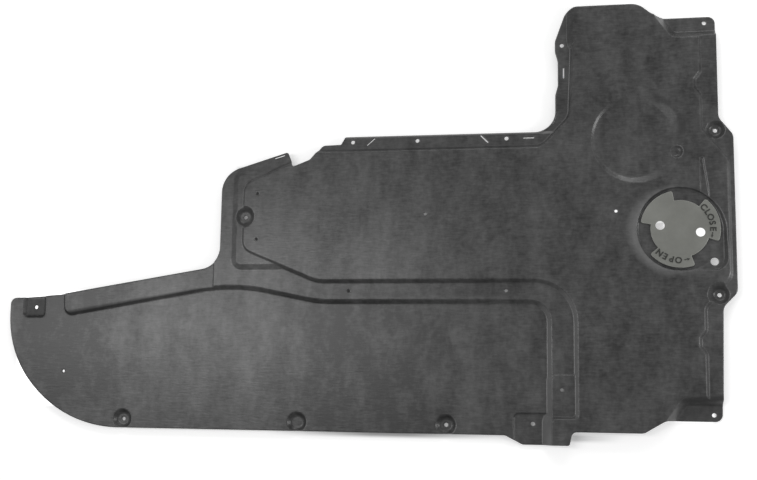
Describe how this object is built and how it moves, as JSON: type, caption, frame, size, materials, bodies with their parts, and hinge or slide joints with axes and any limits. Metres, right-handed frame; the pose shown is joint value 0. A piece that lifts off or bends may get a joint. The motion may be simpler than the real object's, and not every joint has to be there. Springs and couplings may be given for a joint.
{
  "type": "vehicle underbody panel",
  "caption": "Moulded fibre underbody panel with stepped fields, recessed fastening dishes and a turning access cover.",
  "frame": {"origin": "middle of the panel's underside, on the plane of its lowest fastening points", "axes": "+X along the panel's length towards the access cover's side, +Z towards the road side, which lies up"},
  "size_m": [1.384, 0.806, 0.025],
  "materials": {
    "fibre_board": "compression-moulded fibre board, dark grey",
    "cover_plastic": "injection-moulded plastic, warm grey"
  },
  "bodies": {
    "board": {"panel": "fibre_board"},
    "cover": {"access_cover": "cover_plastic"}
  },
  "joints": [
    {"name": "cover_turn", "type": "hinge", "parent": "board", "child": "cover", "pos_m": [0.596, -0.017, 0.0198], "axis": [0, 0, 1], "range_deg": [0, 60]}
  ]
}
